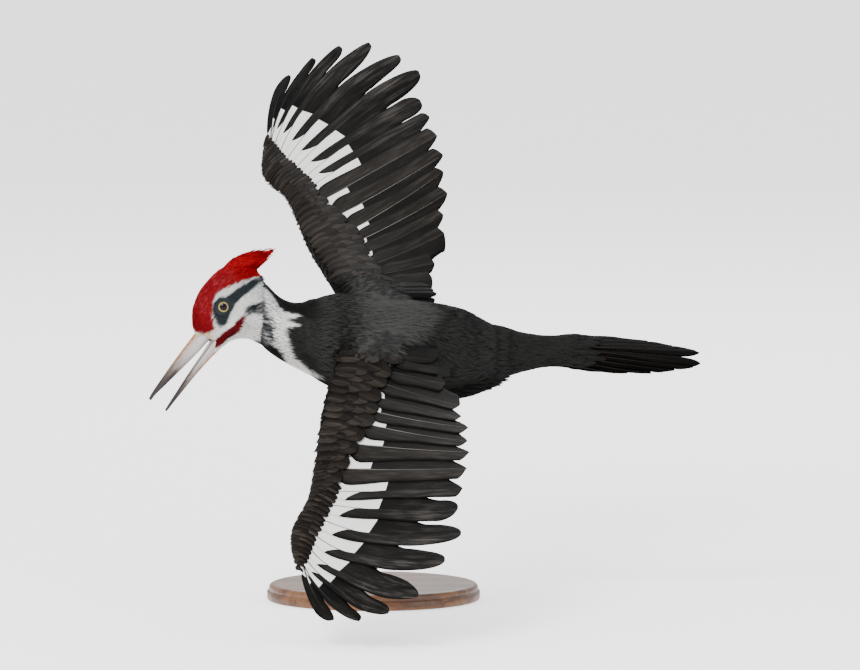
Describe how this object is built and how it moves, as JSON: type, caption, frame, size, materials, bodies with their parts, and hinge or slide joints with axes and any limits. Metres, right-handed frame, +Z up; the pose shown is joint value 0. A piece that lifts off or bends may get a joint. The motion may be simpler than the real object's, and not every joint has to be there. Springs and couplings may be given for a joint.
{
  "type": "pileated woodpecker",
  "caption": "Life-size still model of a male pileated woodpecker in banking flight, wings spread and bill open, held over a round display base by a thin rod.",
  "frame": {"origin": "centre of the display base's underside", "axes": "+Z up; the bird flies along -X with its left wing low towards -Y and its right wing high towards +Y"},
  "size_m": [0.4179, 0.6203, 0.394],
  "materials": {
    "plumage_black": "matte",
    "plumage_white": "matte",
    "plumage_red": "matte",
    "flight_feather": "satin",
    "bill_horn": "satin horn",
    "eye": "gloss",
    "leg_scale": "matte scales",
    "claw": "satin horn",
    "stand_wood": "satin lacquer",
    "stand_steel": "brushed"
  },
  "bodies": {
    "root": {"trunk": "plumage_black", "rump": "plumage_black", "wing_arm_left": "plumage_black", "wing_arm_right": "plumage_black", "wing_hand_left": "plumage_black", "wing_hand_right": "plumage_black", "thigh_left": "plumage_black", "thigh_right": "plumage_black", "neck": "plumage_white", "head": "plumage_red", "crest": "plumage_red", "tail_feathers": "flight_feather", "wing_primaries_left": "flight_feather", "wing_primaries_right": "flight_feather", "wing_secondaries_left": "flight_feather", "wing_secondaries_right": "flight_feather", "bill_upper": "bill_horn", "bill_lower": "bill_horn", "eye_left": "eye", "eye_right": "eye", "foot_left": "leg_scale", "foot_right": "leg_scale", "claw_inner_front_left": "claw", "claw_outer_front_left": "claw", "claw_outer_rear_left": "claw", "claw_hind_left": "claw", "claw_inner_front_right": "claw", "claw_outer_front_right": "claw", "claw_outer_rear_right": "claw", "claw_hind_right": "claw", "stand_base": "stand_wood", "stand_collar": "stand_steel", "stand_rod": "stand_steel"}
  },
  "joints": []
}
